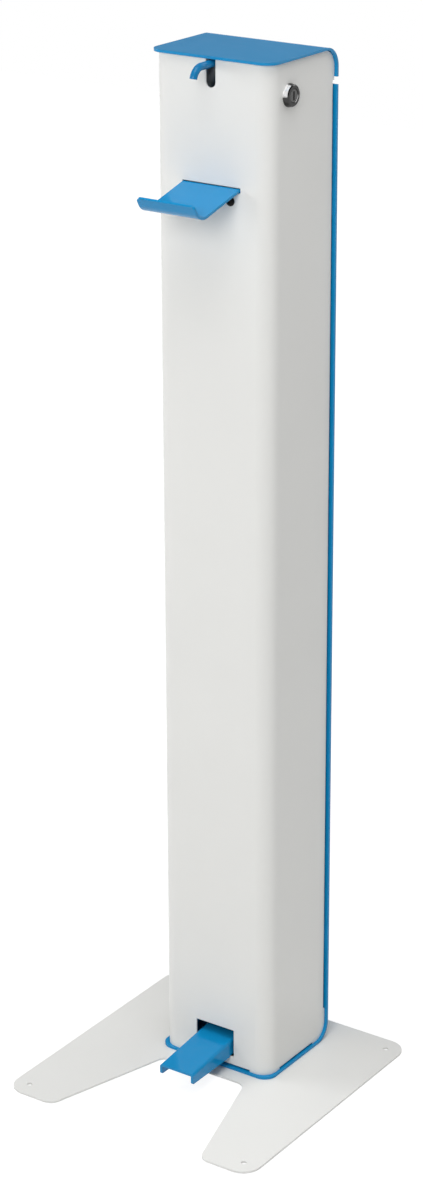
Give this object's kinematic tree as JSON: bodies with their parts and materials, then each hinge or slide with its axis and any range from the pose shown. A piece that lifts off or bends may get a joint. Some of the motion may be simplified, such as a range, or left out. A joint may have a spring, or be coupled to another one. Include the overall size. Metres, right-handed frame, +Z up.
{
  "type": "foot pedal sanitizer stand",
  "caption": "Tall sheet-metal floor stand that pumps a bottle of hand sanitizer by foot pedal, with a hinged locking lid, a nozzle and a drip tray.",
  "frame": {"origin": "on the floor, under the middle of the square floor plate", "axes": "+Z up, the nozzle, tray and pedal face -Y, +X is the side with the lock"},
  "size_m": [0.3, 0.3, 1.049],
  "materials": {
    "powder_blue": "fine satin powder coat",
    "powder_white": "fine satin powder coat",
    "nozzle_blue": "satin",
    "zinc_steel": "bright zinc",
    "lock_chrome": "polished",
    "black_steel": "black oxide",
    "bottle_plastic": "natural",
    "pump_plastic": "gloss",
    "nylon_black": "matte",
    "buffer_rubber": "matte"
  },
  "bodies": {
    "stand": {"base_plate": "powder_white", "cover": "powder_white", "back_frame": "powder_blue", "drip_tray": "powder_blue", "corner_brackets": "zinc_steel", "hinge_frame_leaf": "powder_blue", "hinge_pin": "zinc_steel", "lock_barrel": "lock_chrome", "lock_nut": "zinc_steel", "button_screws": "black_steel", "base_screws": "zinc_steel", "hex_nuts": "zinc_steel", "bottle_shelf": "zinc_steel", "bottle": "bottle_plastic", "pump_barrel": "pump_plastic", "pump_collar": "pump_plastic", "rocker_bracket": "zinc_steel", "rocker_axle": "zinc_steel", "axle_clips": "black_steel", "rod_guides": "zinc_steel", "guide_bushes": "nylon_black", "pedal_bracket": "zinc_steel", "pedal_axle": "zinc_steel", "pedal_buffers": "buffer_rubber"},
    "lid": {"lid": "powder_blue", "hinge_lid_leaf": "powder_blue", "lid_keeper": "zinc_steel"},
    "lock_core": {"lock_plug": "lock_chrome", "lock_cam": "zinc_steel", "cam_nut": "zinc_steel"},
    "pedal": {"pedal": "powder_blue", "pedal_bushes": "nylon_black"},
    "rod": {"push_rod": "zinc_steel", "rod_caps": "nylon_black"},
    "rocker": {"rocker": "zinc_steel"},
    "pump_head": {"pump_actuator": "pump_plastic", "pump_stem": "pump_plastic", "nozzle_tube": "nozzle_blue"}
  },
  "joints": [
    {"name": "pedal_hinge", "type": "hinge", "parent": "stand", "child": "pedal", "pos_m": [0, 0.0195, 0.0235], "axis": [1, 0, 0], "range_deg": [0, 9], "stiffness_Nm_per_rad": 6, "springref_deg": -8.59},
    {"name": "rod_slide", "type": "slide", "parent": "stand", "child": "rod", "axis": [0, 0, 1], "range_m": [0, 0.01449]},
    {"name": "rocker_hinge", "type": "hinge", "parent": "stand", "child": "rocker", "pos_m": [0, 0.0805, 1.026], "axis": [1, 0, 0], "range_deg": [0, 32.95]},
    {"name": "pump_slide", "type": "slide", "parent": "stand", "child": "pump_head", "axis": [0, 0, -1], "range_m": [0, 0.0139]},
    {"name": "lid_hinge", "type": "hinge", "parent": "stand", "child": "lid", "pos_m": [0, 0.1195, 1.0159], "axis": [-1, 0, 0], "range_deg": [0, 150]},
    {"name": "lock_turn", "type": "hinge", "parent": "stand", "child": "lock_core", "pos_m": [0.0655, 0.041, 1.015], "axis": [-1, 0, 0], "range_deg": [0, 90]}
  ],
  "couplings": [
    {"joint": "rod_slide", "follows": "pedal_hinge", "m_per_rad": 0.092213},
    {"joint": "rocker_hinge", "follows": "pedal_hinge", "ratio": 3.6596},
    {"joint": "pump_slide", "follows": "pedal_hinge", "m_per_rad": 0.08843}
  ]
}
